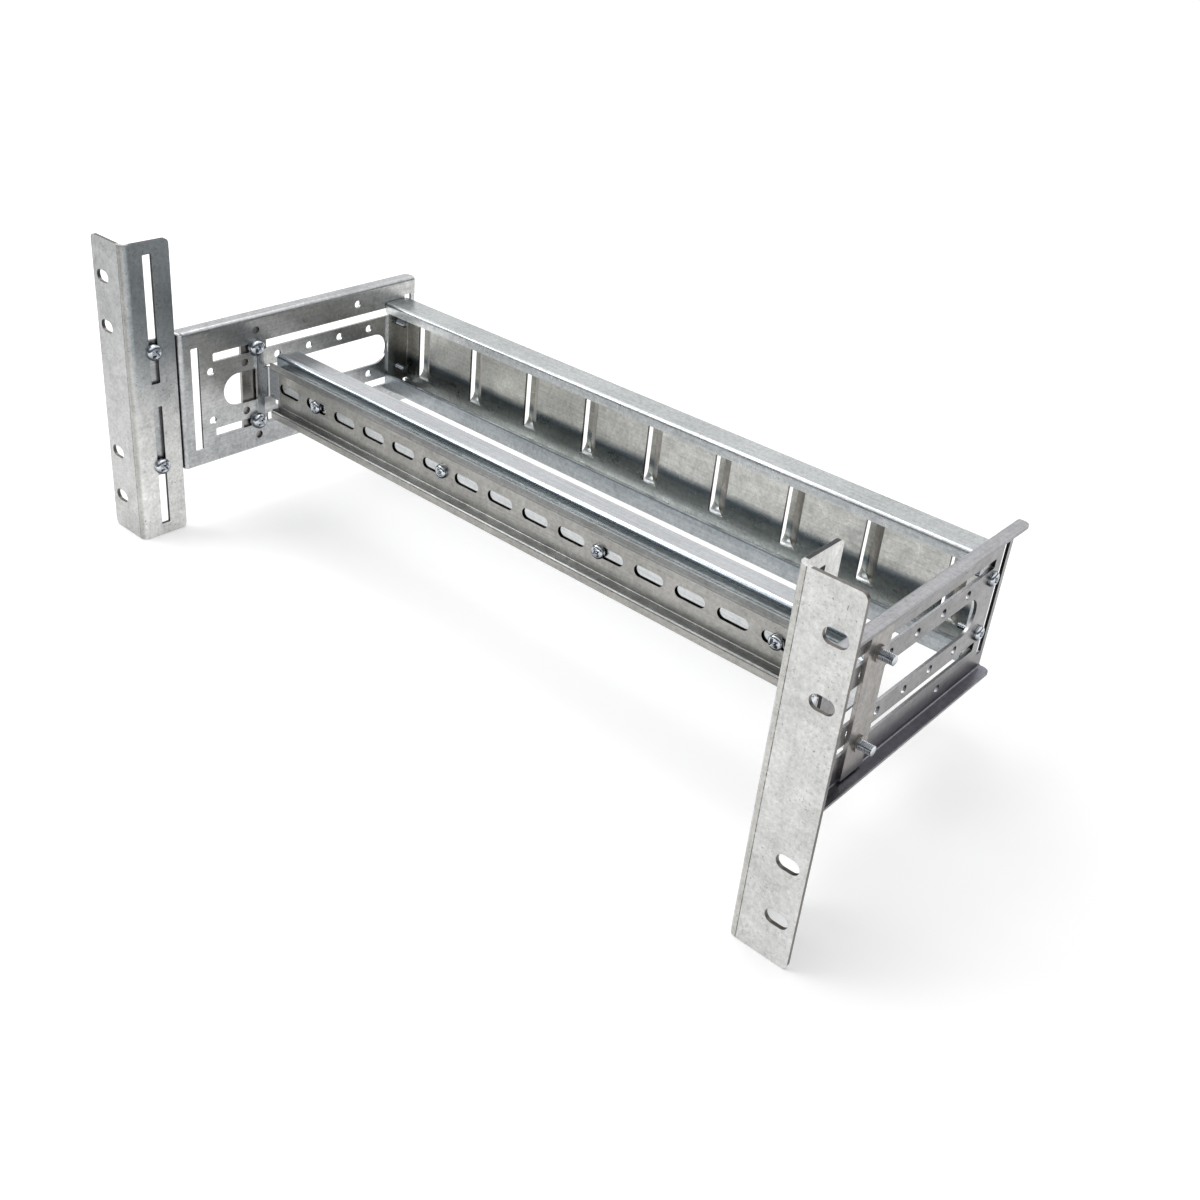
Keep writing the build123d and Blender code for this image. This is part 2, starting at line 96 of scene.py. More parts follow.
class Finish:
    """A node material with its Principled shader and short calls for adding nodes."""

    def __init__(self, name):
        self.material = bpy.data.materials.new(name)
        self.material.use_nodes = True
        self.nodes = self.material.node_tree.nodes
        self.links = self.material.node_tree.links
        self.shader = self.nodes["Principled BSDF"]
        self.place = self.nodes.new("ShaderNodeTexCoord").outputs["Object"]
        self.places = None
        self.normals = None

    def join(self, output, target):
        self.links.new(output, target)

    def stretched(self, scale):
        """Object coordinates, scaled along each axis."""
        mapping = self.nodes.new("ShaderNodeMapping")
        mapping.inputs["Scale"].default_value = scale
        self.join(self.place, mapping.inputs["Vector"])
        return mapping.outputs["Vector"]

    def noise(self, scale, detail=3.0, roughness=0.5, distortion=0.0, vector=None):
        texture = self.nodes.new("ShaderNodeTexNoise")
        texture.inputs["Scale"].default_value = scale
        texture.inputs["Detail"].default_value = detail
        texture.inputs["Roughness"].default_value = roughness
        texture.inputs["Distortion"].default_value = distortion
        self.join(vector or self.place, texture.inputs["Vector"])
        return texture.outputs["Fac"]

    def flakes(self, scale):
        """Random grey for each zinc flake."""
        texture = self.nodes.new("ShaderNodeTexVoronoi")
        texture.inputs["Scale"].default_value = scale
        self.join(self.place, texture.inputs["Vector"])
        grey = self.nodes.new("ShaderNodeSeparateColor")
        self.join(texture.outputs["Color"], grey.inputs["Color"])
        return grey.outputs["Red"]

    def ranged(self, value, low, high, to_low, to_high):
        """Value carried from one range to another; noise lies mostly between 0.3 and 0.7."""
        node = self.nodes.new("ShaderNodeMapRange")
        node.inputs["From Min"].default_value = low
        node.inputs["From Max"].default_value = high
        node.inputs["To Min"].default_value = to_low
        node.inputs["To Max"].default_value = to_high
        self.join(value, node.inputs["Value"])
        return node.outputs["Result"]

    def combine(self, first, second, operation="ADD"):
        """Math node on two values; the second may be a number."""
        node = self.nodes.new("ShaderNodeMath")
        node.operation = operation
        self.join(first, node.inputs[0])
        if hasattr(second, "links"):
            self.join(second, node.inputs[1])
        else:
            node.inputs[1].default_value = second
        return node.outputs["Value"]

    def blend(self, share, first, second):
        """Colour between first and second; either may be a colour or a socket."""
        node = self.nodes.new("ShaderNodeMix")
        node.data_type = "RGBA"
        self.join(share, node.inputs["Factor"])
        for index, colour in ((6, first), (7, second)):
            if hasattr(colour, "links"):
                self.join(colour, node.inputs[index])
            else:
                node.inputs[index].default_value = (*colour, 1.0)
        return node.outputs[2]

    def tinted(self, share, colour, tint):
        """Colour multiplied by the tint where the share is 1."""
        node = self.nodes.new("ShaderNodeMix")
        node.data_type = "RGBA"
        node.blend_type = "MULTIPLY"
        self.join(share, node.inputs["Factor"])
        self.join(colour, node.inputs[6])
        node.inputs[7].default_value = (*tint, 1.0)
        return node.outputs[2]

    def split(self, vector):
        node = self.nodes.new("ShaderNodeSeparateXYZ")
        self.join(vector, node.inputs["Vector"])
        return [node.outputs["X"], node.outputs["Y"], node.outputs["Z"]]

    def coordinate(self, axis):
        """Place along X, Y or Z in metres."""
        if self.places is None:
            self.places = self.split(self.place)
        return self.places["XYZ".index(axis)]

    def facing(self, axis):
        """How much the surface faces along X, Y or Z, from -1 to 1."""
        if self.normals is None:
            self.normals = self.split(self.nodes.new("ShaderNodeNewGeometry").outputs["Normal"])
        return self.normals["XYZ".index(axis)]

    def unsigned(self, value):
        """Value without its sign."""
        node = self.nodes.new("ShaderNodeMath")
        node.operation = "ABSOLUTE"
        self.join(value, node.inputs[0])
        return node.outputs["Value"]

    def step(self, value, start, end):
        """0 before start, 1 after end, straight between; start may lie after end."""
        return self.ranged(value, start, end, 0.0, 1.0)

    def band(self, value, start, end, soft):
        """1 between start and end, fading over the soft width outside."""
        rise = self.step(value, start - soft, start)
        fall = self.step(value, end + soft, end)
        return self.both(rise, fall)

    def both(self, *shares):
        """All shares multiplied."""
        share = shares[0]
        for other in shares[1:]:
            share = self.combine(share, other, "MULTIPLY")
        return share

    def towards(self, axis):
        """1 where the surface faces along the axis."""
        return self.step(self.facing(axis), 0.6, 0.9)

    def front(self):
        """1 where the surface faces the front."""
        return self.step(self.facing("Y"), -0.6, -0.9)

    def walls(self, axis):
        """1 on walls that run along the axis, 0 on surfaces that face along it."""
        return self.step(self.unsigned(self.facing(axis)), 0.5, 0.3)

    def wavy_height(self, scale, reach):
        """Height above the origin, with a soft wave up and down by the reach."""
        wave = self.ranged(self.noise(scale, detail=2.0), 0.3, 0.7, -reach, reach)
        return self.combine(self.coordinate("Z"), wave)

    def relief(self, height, distance, edge_radius):
        """Bump over slightly rounded edges."""
        rounded = self.nodes.new("ShaderNodeBevel")
        rounded.samples = 4
        rounded.inputs["Radius"].default_value = edge_radius
        bump = self.nodes.new("ShaderNodeBump")
        bump.inputs["Distance"].default_value = distance
        bump.inputs["Strength"].default_value = 1.0
        self.join(height, bump.inputs["Height"])
        self.join(rounded.outputs["Normal"], bump.inputs["Normal"])
        self.join(bump.outputs["Normal"], self.shader.inputs["Normal"])


# Noise scales of the galvanised finish, per metre
FINE_MOTTLING = 430.0
CLOUD_MOTTLING = 85.0
ZINC_FLAKES = 900.0
SHEET_SHEEN = 17.0
DARK_SPECKS = 760.0
SPECK_PATCHES = 70.0

# Rolling grain: stretch of its noise along and across the rolling direction, per metre
ALONG_GRAIN = 18.0
ACROSS_GRAIN = 900.0

# Radius by which the render softens sheet edges and fastener edges
SHEET_EDGE = 0.25 * MM
FASTENER_EDGE = 0.12 * MM


def galvanised(name, pale, dull, grain, speckle=0.5, gloss=(0.26, 0.42), grain_share=0.4,
               marks_and_painted_shading=None, depth=0.015):
    """Galvanised sheet: mottling, zinc flakes, dark specks, rolling grain, each piece's own
    markings and painted light and shade.

    Gloss is the roughness of the shiniest and the dullest clouds, depth the relief in millimetres.
    """
    finish = Finish(name)
    fine = finish.noise(FINE_MOTTLING, detail=5.0, roughness=0.68, distortion=0.3)
    clouds = finish.noise(CLOUD_MOTTLING, detail=4.0, roughness=0.6, distortion=0.5)
    flakes = finish.flakes(ZINC_FLAKES)
    rolled = finish.noise(1.0, detail=4.0, roughness=0.6, vector=finish.stretched(grain))
    sheen = finish.noise(SHEET_SHEEN, detail=1.0)
    tone = finish.ranged(fine, 0.32, 0.68, 0.0, 0.60)
    tone = finish.combine(tone, finish.ranged(sheen, 0.3, 0.7, -0.15, 0.15))
    tone = finish.combine(tone, finish.ranged(clouds, 0.30, 0.70, 0.0, 0.30))
    tone = finish.combine(tone, finish.ranged(flakes, 0.0, 1.0, -0.08, 0.14))
    streaks = finish.ranged(rolled, 0.3, 0.7, -grain_share * 0.4, grain_share * 0.6)
    tone = finish.combine(tone, streaks)
    colour = finish.blend(tone, dull, pale)
    specks = finish.noise(DARK_SPECKS, detail=2.0, roughness=0.7)
    patches = finish.noise(SPECK_PATCHES, detail=2.0)
    speck_share = finish.ranged(specks, 0.60, 0.72, 0.0, speckle)
    speck_share = finish.both(speck_share, finish.ranged(patches, 0.35, 0.65, 0.0, 1.0))
    dark = tuple(0.30 * channel for channel in dull)
    colour = finish.blend(speck_share, colour, dark)
    # Each piece's own markings and its painted light and shade, drawn over the sheet's colour
    if marks_and_painted_shading is not None:
        colour = marks_and_painted_shading(finish, colour)
    finish.join(colour, finish.shader.inputs["Base Color"])
    finish.shader.inputs["Metallic"].default_value = 1.0
    finish.join(
        finish.ranged(clouds, 0.3, 0.7, gloss[1], gloss[0]),
        finish.shader.inputs["Roughness"],
    )
    height = finish.ranged(rolled, 0.0, 1.0, 0.0, 0.5)
    height = finish.combine(height, finish.ranged(specks, 0.3, 0.8, 0.5, 0.0))
    height = finish.combine(height, finish.ranged(fine, 0.3, 0.7, 0.0, 0.6))
    finish.relief(height, depth * MM, SHEET_EDGE)
    return finish.material


# Tints: painted reflection of a slate band low on the crossmember's web, painted shade on cut
# walls, strip along the brackets' bend
SLATE_REFLECTION = (0.34, 0.39, 0.45)
CUT_WALL_SHADE = (0.10, 0.10, 0.11)
STRIP = (0.84, 0.83, 0.80)

# Rail slots, through which the crossbar's face shows
RAIL_HEIGHT = -9.0 * MM
RAIL_END = 197.0 * MM
SLOT_PITCH = 25.0 * MM
SLOT_STRAIGHT = 11.7 * MM
SLOT_ROUND = 3.15 * MM
SLOT_SHADE = 0.9 * MM


def bracket_marks_and_painted_shading(finish, colour):
    """Pitted line beside the bend, yellowish strip, painted shade on cut walls, painted reflection
    darkening the left bracket's upper side and front and lightening its foot.
    """
    across = finish.unsigned(finish.coordinate("X"))
    front = finish.front()
    strip = finish.both(front, finish.step(across, 216.6 * MM, 215.8 * MM))
    colour = finish.tinted(strip, colour, STRIP)
    pits = finish.ranged(finish.noise(520.0, detail=3.0, roughness=0.7), 0.38, 0.56, 0.45, 1.0)
    line = finish.band(across, 216.1 * MM, 216.3 * MM, 0.20 * MM)
    colour = finish.tinted(finish.both(front, line, pits), colour, (0.20, 0.20, 0.21))
    # Painted shade on the walls of the front flange's slots and holes
    walls = finish.both(
        finish.walls("Y"),
        finish.band(finish.coordinate("Y"), 0.05 * MM, 1.95 * MM, 0.02 * MM),
        finish.step(across, 217.5 * MM, 218.0 * MM),
    )
    colour = finish.tinted(walls, colour, (0.30, 0.28, 0.26))
    # Painted shade on the walls of the side flange's slots
    cuts = finish.both(
        finish.walls("X"),
        finish.band(across, 212.15 * MM, 214.05 * MM, 0.02 * MM),
        finish.step(finish.coordinate("Y"), 4.5 * MM, 5.0 * MM),
    )
    colour = finish.tinted(cuts, colour, CUT_WALL_SHADE)
    # Painted reflection: the left bracket's inner side darker at its top and lighter at its foot
    height = finish.wavy_height(24.0, 14.0 * MM)
    left = finish.step(finish.coordinate("X"), 0.0, -0.1)
    inner = finish.both(finish.towards("X"), left)
    side = finish.both(inner, finish.step(height, -12.0 * MM, 26.0 * MM))
    colour = finish.tinted(side, colour, (0.54, 0.58, 0.61))
    foot = finish.both(inner, finish.step(height, -25.0 * MM, -55.0 * MM))
    colour = finish.tinted(foot, colour, (1.20, 1.20, 1.20))
    # Painted reflection: the left bracket's front darker towards its top
    left_front = finish.both(front, left, finish.ranged(height, -80.0 * MM, 70.0 * MM, 0.2, 1.0))
    return finish.tinted(left_front, colour, (0.58, 0.59, 0.60))


def plate_cut_wall_shade(finish, colour):
    """Painted shade on the cut walls of the plates' slots and holes."""
    walls = finish.both(
        finish.walls("X"),
        finish.band(finish.unsigned(finish.coordinate("X")), 210.12 * MM, 211.58 * MM, 0.01 * MM),
        finish.band(finish.coordinate("Z"), -47.5 * MM, 29.5 * MM, 0.5 * MM),
        finish.step(finish.coordinate("Y"), 34.0 * MM, 35.0 * MM),
        finish.step(finish.facing("Z"), 0.45, 0.10),
    )
    return finish.tinted(walls, colour, CUT_WALL_SHADE)


def left_plate_painted_shading(finish, colour):
    """Painted shade on cut walls; painted light making the web a little lighter and warmer towards
    its top.
    """
    colour = plate_cut_wall_shade(finish, colour)
    top = finish.both(
        finish.towards("X"),
        finish.step(finish.wavy_height(16.0, 10.0 * MM), -42.0 * MM, 16.0 * MM),
        finish.step(finish.coordinate("Y"), 33.0 * MM, 42.0 * MM),
    )
    return finish.tinted(top, colour, (1.14, 1.12, 1.07))


def right_plate_painted_shade(finish, colour):
    """Painted shade and reflection: cut walls, web darker overall and darkening to the lower bend,
    dark lower flange.
    """
    colour = plate_cut_wall_shade(finish, colour)
    web = finish.step(finish.unsigned(finish.facing("X")), 0.6, 0.9)
    colour = finish.tinted(web, colour, (0.64, 0.63, 0.61))
    low_web = finish.both(web, finish.step(finish.coordinate("Z"), -30.0 * MM, -50.0 * MM))
    colour = finish.tinted(low_web, colour, (0.66, 0.66, 0.68))
    low = finish.step(finish.coordinate("Z"), -40.0 * MM, -45.0 * MM)
    flange = finish.both(finish.towards("Z"), low)
    return finish.tinted(flange, colour, (0.60, 0.60, 0.66))


def rail_painted_shade(finish, colour):
    """Painted shade: dark cut walls of the slots, darker lower ledge and upper lip."""
    walls = finish.both(
        finish.walls("Y"),
        finish.step(finish.coordinate("Y"), 88.01 * MM, 88.03 * MM),
        finish.band(finish.coordinate("Z"), -14.0 * MM, -4.0 * MM, 0.5 * MM),
    )
    colour = finish.tinted(walls, colour, (0.05, 0.05, 0.05))
    ledge = finish.both(
        finish.step(finish.facing("Z"), 0.5, 0.8),
        finish.step(finish.coordinate("Z"), -15.0 * MM, -18.0 * MM),
    )
    colour = finish.tinted(ledge, colour, (0.60, 0.63, 0.66))
    lip = finish.both(
        finish.step(finish.facing("Y"), -0.3, -0.6),
        finish.step(finish.coordinate("Z"), 3.5 * MM, 6.0 * MM),
    )
    return finish.tinted(lip, colour, (0.62, 0.65, 0.68))


def slot_shade(finish):
    """Thin shade inside the left and lower edge of each slot, on the face behind them."""
    across = finish.nodes.new("ShaderNodeMath")
    across.operation = "WRAP"
    shifted = finish.combine(finish.coordinate("X"), SLOT_PITCH / 2 - SLOT_SHADE)
    finish.join(shifted, across.inputs[0])
    across.inputs[1].default_value = SLOT_PITCH / 2
    across.inputs[2].default_value = -SLOT_PITCH / 2
    beside = finish.combine(finish.unsigned(across.outputs["Value"]), SLOT_STRAIGHT / 2, "SUBTRACT")
    beside = finish.combine(beside, 0.0, "MAXIMUM")
    above = finish.combine(finish.coordinate("Z"), RAIL_HEIGHT + SLOT_SHADE, "SUBTRACT")
    far = finish.combine(finish.both(beside, beside), finish.both(above, above))
    far = finish.combine(far, 0.5, "POWER")
    return finish.both(
        finish.step(finish.facing("Y"), -0.8, -0.95),
        finish.step(far, SLOT_ROUND - 0.15 * MM, SLOT_ROUND + 0.25 * MM),
        finish.step(finish.unsigned(above), 8.0 * MM, 7.0 * MM),
        finish.step(finish.unsigned(finish.coordinate("X")), RAIL_END, RAIL_END - 0.5 * MM),
    )


def crossbar_painted_shade(finish, colour):
    """Painted shade and reflection: darker face behind the rail, shade behind its slots, dark band
    above the rail, darker top and screw tabs.
    """
    # Painted shade on the face that shows through the rail's slots
    low = finish.step(finish.coordinate("Z"), 2.0 * MM, 0.0)
    face = finish.both(finish.step(finish.facing("Y"), -0.8, -0.95), low)
    colour = finish.tinted(face, colour, (0.80, 0.80, 0.78))
    colour = finish.tinted(slot_shade(finish), colour, (0.06, 0.06, 0.06))
    band = finish.both(
        finish.step(finish.facing("Y"), -0.35, -0.75),
        finish.step(finish.coordinate("Z"), 3.0 * MM, 5.0 * MM),
    )
    colour = finish.tinted(band, colour, (0.62, 0.69, 0.74))
    # Painted reflection dimmed on the top and its bend; painted shade on the screw tabs
    top = finish.step(finish.facing("Z"), 0.15, 0.5)
    colour = finish.tinted(top, colour, (0.80, 0.80, 0.80))
    tabs = finish.step(finish.unsigned(finish.facing("X")), 0.5, 0.8)
    return finish.tinted(tabs, colour, (0.42, 0.42, 0.42))


def crossmember_painted_shading(finish, colour):
    """Painted light and shade: darker web, dark lips and bends, dimmed top, cream-toned louvre
    sides, darker left part, lighter foot, painted reflection of a slate band low on the web.
    """
    upright = finish.step(finish.unsigned(finish.facing("Y")), 0.5, 0.9)
    deep = finish.step(finish.coordinate("Y"), 185.0 * MM, 190.0 * MM)
    colour = finish.tinted(finish.both(upright, deep), colour, (0.88, 0.86, 0.82))
    lips = finish.both(upright, finish.step(finish.coordinate("Y"), 190.0 * MM, 185.0 * MM))
    low_lips = finish.both(lips, finish.step(finish.coordinate("Z"), -5.0 * MM, -10.0 * MM))
    colour = finish.tinted(low_lips, colour, (0.62, 0.64, 0.66))
    rim = finish.band(finish.coordinate("Z"), -28.0 * MM, -26.0 * MM, 0.3 * MM)
    colour = finish.tinted(finish.both(lips, rim), colour, (0.50, 0.53, 0.55))
    shoulder = finish.band(finish.coordinate("Z"), -31.0 * MM, -26.0 * MM, 1.5 * MM)
    colour = finish.tinted(finish.both(lips, shoulder), colour, (0.82, 0.84, 0.86))
    top = finish.step(finish.facing("Z"), 0.3, 0.6)
    colour = finish.tinted(top, colour, (0.84, 0.85, 0.86))
    bends = finish.band(finish.facing("Z"), 0.30, 0.85, 0.10)
    colour = finish.tinted(bends, colour, (0.80, 0.80, 0.81))
    louvres = finish.both(finish.step(finish.unsigned(finish.facing("X")), 0.25, 0.45), deep)
    colour = finish.tinted(louvres, colour, (0.44, 0.415, 0.375))
    left = finish.band(finish.coordinate("X"), -120.0 * MM, -65.0 * MM, 90.0 * MM)
    colour = finish.tinted(finish.both(left, upright, deep), colour, (0.76, 0.76, 0.74))
    foot = finish.step(finish.coordinate("Z"), -20.0 * MM, -27.0 * MM)
    colour = finish.tinted(finish.both(upright, deep, foot), colour, (1.28, 1.32, 1.34))
    # Painted reflection: slate band low on the web
    low = finish.both(
        finish.front(),
        finish.step(finish.wavy_height(14.0, 1.5 * MM), -15.0 * MM, -19.0 * MM),
        finish.step(finish.coordinate("Z"), -26.0 * MM, -20.5 * MM),
        finish.step(finish.coordinate("Y"), 190.0 * MM, 195.0 * MM),
    )
    return finish.tinted(low, colour, SLATE_REFLECTION)


def bright_zinc(name):
    """Bright zinc plate of the screws and nuts, a little blue, with painted shade where it faces
    down.
    """
    finish = Finish(name)
    clouds = finish.noise(400.0, detail=3.0)
    colour = finish.blend(clouds, (0.42, 0.45, 0.49), (0.86, 0.89, 0.92))
    # Painted shade on faces turned down
    low = finish.step(finish.facing("Z"), 0.12, -0.35)
    colour = finish.tinted(low, colour, (0.12, 0.13, 0.15))
    finish.join(colour, finish.shader.inputs["Base Color"])
    finish.shader.inputs["Metallic"].default_value = 1.0
    finish.join(finish.ranged(clouds, 0.3, 0.7, 0.18, 0.08), finish.shader.inputs["Roughness"])
    finish.relief(clouds, 0.01 * MM, FASTENER_EDGE)
    return finish.material


def set_finishes():
    """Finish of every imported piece; the grain runs along the sheet's rolling direction."""
    along_x = (ALONG_GRAIN, ACROSS_GRAIN, ACROSS_GRAIN)
    along_y = (ACROSS_GRAIN, ALONG_GRAIN, ACROSS_GRAIN)
    along_z = (ACROSS_GRAIN, ACROSS_GRAIN, ALONG_GRAIN)
    bracket = galvanised(
        "bracket_galvanised", (0.77, 0.77, 0.76), (0.47, 0.47, 0.46), along_z,
        speckle=1.0, gloss=(0.30, 0.50), grain_share=0.15, marks_and_painted_shading=bracket_marks_and_painted_shading,
    )
    strip = galvanised("strip_galvanised", (0.42, 0.40, 0.38), (0.23, 0.22, 0.21), along_z)
    left_plate = galvanised(
        "left_plate_galvanised", (0.60, 0.61, 0.62), (0.32, 0.33, 0.34), along_y,
        marks_and_painted_shading=left_plate_painted_shading,
    )
    right_plate = galvanised(
        "right_plate_galvanised", (0.52, 0.52, 0.54), (0.31, 0.31, 0.325), along_y,
        marks_and_painted_shading=right_plate_painted_shade,
    )
    crossbar = galvanised(
        "crossbar_galvanised", (0.76, 0.78, 0.80), (0.58, 0.60, 0.63), along_x,
        speckle=0.1, gloss=(0.20, 0.27), grain_share=0.9, marks_and_painted_shading=crossbar_painted_shade, depth=0.004,
    )
    crossmember = galvanised(
        "crossmember_galvanised", (0.77, 0.79, 0.79), (0.43, 0.445, 0.445), along_x,
        speckle=0.2, gloss=(0.24, 0.40), marks_and_painted_shading=crossmember_painted_shading,
    )
    rail = galvanised(
        "rail_zinc", (0.43, 0.425, 0.405), (0.255, 0.25, 0.235), along_x,
        speckle=0.5, gloss=(0.26, 0.38), marks_and_painted_shading=rail_painted_shade,
    )
    finishes = {
        "left_rack_bracket": bracket,
        "right_rack_bracket": bracket,
        "left_clamp_strip": strip,
        "right_clamp_strip": strip,
        "left_side_plate": left_plate,
        "right_side_plate": right_plate,
        "front_crossbar": crossbar,
        "rear_crossmember": crossmember,
        "din_rail": rail,
    }
    zinc = bright_zinc("fastener_zinc")
    for node, piece in steel.items():
        for slot in piece.material_slots:
            slot.material = finishes.get(node, zinc)
    return zinc


def turned(name, rings, corners=32):
    """Closed piece turned about Z: a filled circle, extruded and resized from ring to ring."""
    deselect_all()
    radius, height = rings[0]
    bpy.ops.mesh.primitive_circle_add(
        vertices=corners, radius=radius, fill_type="NGON", location=(0, 0, height),
    )
    bpy.ops.object.transform_apply(location=True, rotation=False, scale=False)
    piece = bpy.context.object
    piece.name = name
    bpy.ops.object.mode_set(mode="EDIT")
    bpy.ops.mesh.select_mode(type="FACE")
    bpy.ops.mesh.select_all(action="SELECT")
    for next_radius, next_height in rings[1:]:
        rise = (0, 0, next_height - height)
        bpy.ops.mesh.extrude_region_move(TRANSFORM_OT_translate={"value": rise})
        share = next_radius / radius
        bpy.ops.transform.resize(value=(share, share, 1.0), center_override=(0, 0, next_height))
        radius, height = next_radius, next_height
    bpy.ops.mesh.select_all(action="SELECT")
    bpy.ops.mesh.remove_doubles(threshold=0.002 * MM)
    bpy.ops.mesh.normals_make_consistent(inside=False)
    bpy.ops.object.mode_set(mode="OBJECT")
    return piece


# How far the recess narrows at its deep end
RECESS_TAPER = 0.55


def cross_cutter(arm, width, depth, top):
    """Cross for the recess: a cube with its four sides pulled out, drawn in at its deep end."""
    deselect_all()
    bpy.ops.mesh.primitive_cube_add(
        size=1.0, location=(0, 0, top + depth / 2), scale=(width, width, depth),
    )
    bpy.ops.object.transform_apply(location=True, rotation=False, scale=True)
    cutter = bpy.context.object
    for direction in ((1, 0, 0), (-1, 0, 0), (0, 1, 0), (0, -1, 0)):
        for face in cutter.data.polygons:
            outside = face.center.dot(Vector(direction)) > width * 0.45
            face.select = outside and face.normal.dot(Vector(direction)) > 0.9
        bpy.ops.object.mode_set(mode="EDIT")
        shift = [step * (arm - width) / 2 for step in direction]
        bpy.ops.mesh.extrude_region_move(TRANSFORM_OT_translate={"value": shift})
        bpy.ops.mesh.select_all(action="DESELECT")
        bpy.ops.object.mode_set(mode="OBJECT")
    bpy.ops.object.mode_set(mode="EDIT")
    bpy.ops.mesh.select_mode(type="VERT")
    bpy.ops.object.mode_set(mode="OBJECT")
    for corner in cutter.data.vertices:
        corner.select = corner.co.z > top + depth / 2
    bpy.ops.object.mode_set(mode="EDIT")
    bpy.ops.transform.resize(
        value=(RECESS_TAPER, RECESS_TAPER, 1.0), center_override=(0, 0, top + depth),
    )
    bpy.ops.mesh.select_all(action="SELECT")
    bpy.ops.mesh.normals_make_consistent(inside=False)
    bpy.ops.object.mode_set(mode="OBJECT")
    return cutter


def cut_away(piece, cutter, operation="DIFFERENCE"):
    """Boolean, applied at once; the cutter is deleted."""
    deselect_all()
    piece.select_set(True)
    bpy.context.view_layer.objects.active = piece
    modifier = piece.modifiers.new("cut", "BOOLEAN")
    modifier.operation = operation
    modifier.solver = "EXACT"
    modifier.object = cutter
    bpy.ops.object.modifier_apply(modifier="cut")
    deselect_all()
    cutter.select_set(True)
    bpy.ops.object.delete()


def rounded_by_angle(piece, degrees=32.0):
    """Shaded smooth, apart from the edges sharper than the angle."""
    deselect_all()
    piece.select_set(True)
    bpy.context.view_layer.objects.active = piece
    bpy.ops.object.shade_smooth_by_angle(angle=radians(degrees))


# Head profile: share of the radius and of the height, from the rim to the crown
HEAD_PROFILE = (
    (1.0, 0.05), (1.0, 0.34), (0.985, 0.48), (0.94, 0.63), (0.86, 0.77),
    (0.74, 0.88), (0.58, 0.95), (0.38, 0.99), (0.12, 1.0),
)

# Screws: thread size, head diameter, head height, length under the head, thread pitch
SCREWS = {
    "bracket_screw": (5.0 * MM, 9.5 * MM, 3.2 * MM, 10.0 * MM, 0.8 * MM),
    "crossbar_screw": (5.0 * MM, 9.5 * MM, 3.2 * MM, 13.0 * MM, 0.8 * MM),
    "crossmember_screw": (4.0 * MM, 8.0 * MM, 2.8 * MM, 10.0 * MM, 0.7 * MM),
    "rail_screw": (4.0 * MM, 8.0 * MM, 2.8 * MM, 10.0 * MM, 0.7 * MM),
}

# Nuts: thread size, width across flats, thickness
NUTS = {
    "bracket_nut": (5.0 * MM, 8.0 * MM, 4.0 * MM),
    "rail_nut": (4.0 * MM, 7.0 * MM, 3.2 * MM),
}


def pan_head_screw(name, size, head, head_height, length, pitch):
    """Pan head screw along Z: domed head below zero with a cross recess, threaded shank above."""
    crest = size / 2 - 0.03 * MM
    root = size / 2 - 0.55 * pitch
    height = length - 0.45 * pitch
    rings = [(root * 0.86, length), (crest, height)]
    while height > 1.6 * pitch:
        rings.append((crest, height - 0.10 * pitch))
        rings.append((root, height - 0.45 * pitch))
        rings.append((root, height - 0.60 * pitch))
        rings.append((crest, height - 0.95 * pitch))
        height -= pitch
    rings.append((root, height - 0.4 * pitch))
    rings.append((root, 0.0))
    rings.append((head / 2 * 0.97, 0.0))
    for reach, rise in HEAD_PROFILE:
        rings.append((head / 2 * reach, -head_height * rise))
    screw = turned(name, rings)
    recess = cross_cutter(head * 0.60, head * 0.135, head_height * 0.62, -head_height * 1.05)
    cut_away(screw, recess)
    rounded_by_angle(screw)
    return screw


def chamfered_nut(name, size, flats, thickness):
    """Hexagon nut along Z, chamfered both sides, with its threaded hole."""
    deselect_all()
    corner = flats / 2 / cos(pi / 6)
    bpy.ops.mesh.primitive_cylinder_add(
        vertices=6, radius=corner, depth=thickness, location=(0, 0, thickness / 2),
    )
    bpy.ops.object.transform_apply(location=True, rotation=False, scale=False)
    nut = bpy.context.object
    nut.name = name
    face = flats / 2 * 0.95
    chamfer = 0.96 * (corner - flats / 2 * 0.96)
    rounds = [(face, 0.0), (corner, chamfer), (corner, thickness - chamfer), (face, thickness)]
    cut_away(nut, turned("chamfer", rings=rounds, corners=48), "INTERSECT")
    bore = size / 2 + 0.02 * MM
    mouth = bore + 0.5 * MM
    hole = [
        (mouth, -0.1 * MM), (bore, 0.45 * MM),
        (bore, thickness - 0.45 * MM), (mouth, thickness + 0.1 * MM),
    ]
    cut_away(nut, turned("bore", rings=hole))
    rounded_by_angle(nut)
    return nut


def set_in_place(master, node, turn, bearing, zinc):
    """A copy of the master, turned and moved onto its node, with a mesh of its own."""
    deselect_all()
    master.select_set(True)
    bpy.context.view_layer.objects.active = master
    bpy.ops.object.duplicate(linked=False)
    piece = bpy.context.object
    piece.name = "detailed_" + node
    piece.rotation_euler = [radians(angle) for angle in turn]
    piece.location = bearing
    bpy.ops.object.transform_apply(location=True, rotation=True, scale=False)
    piece.data.materials.clear()
    piece.data.materials.append(zinc)
    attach(piece, "root")
    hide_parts(node)


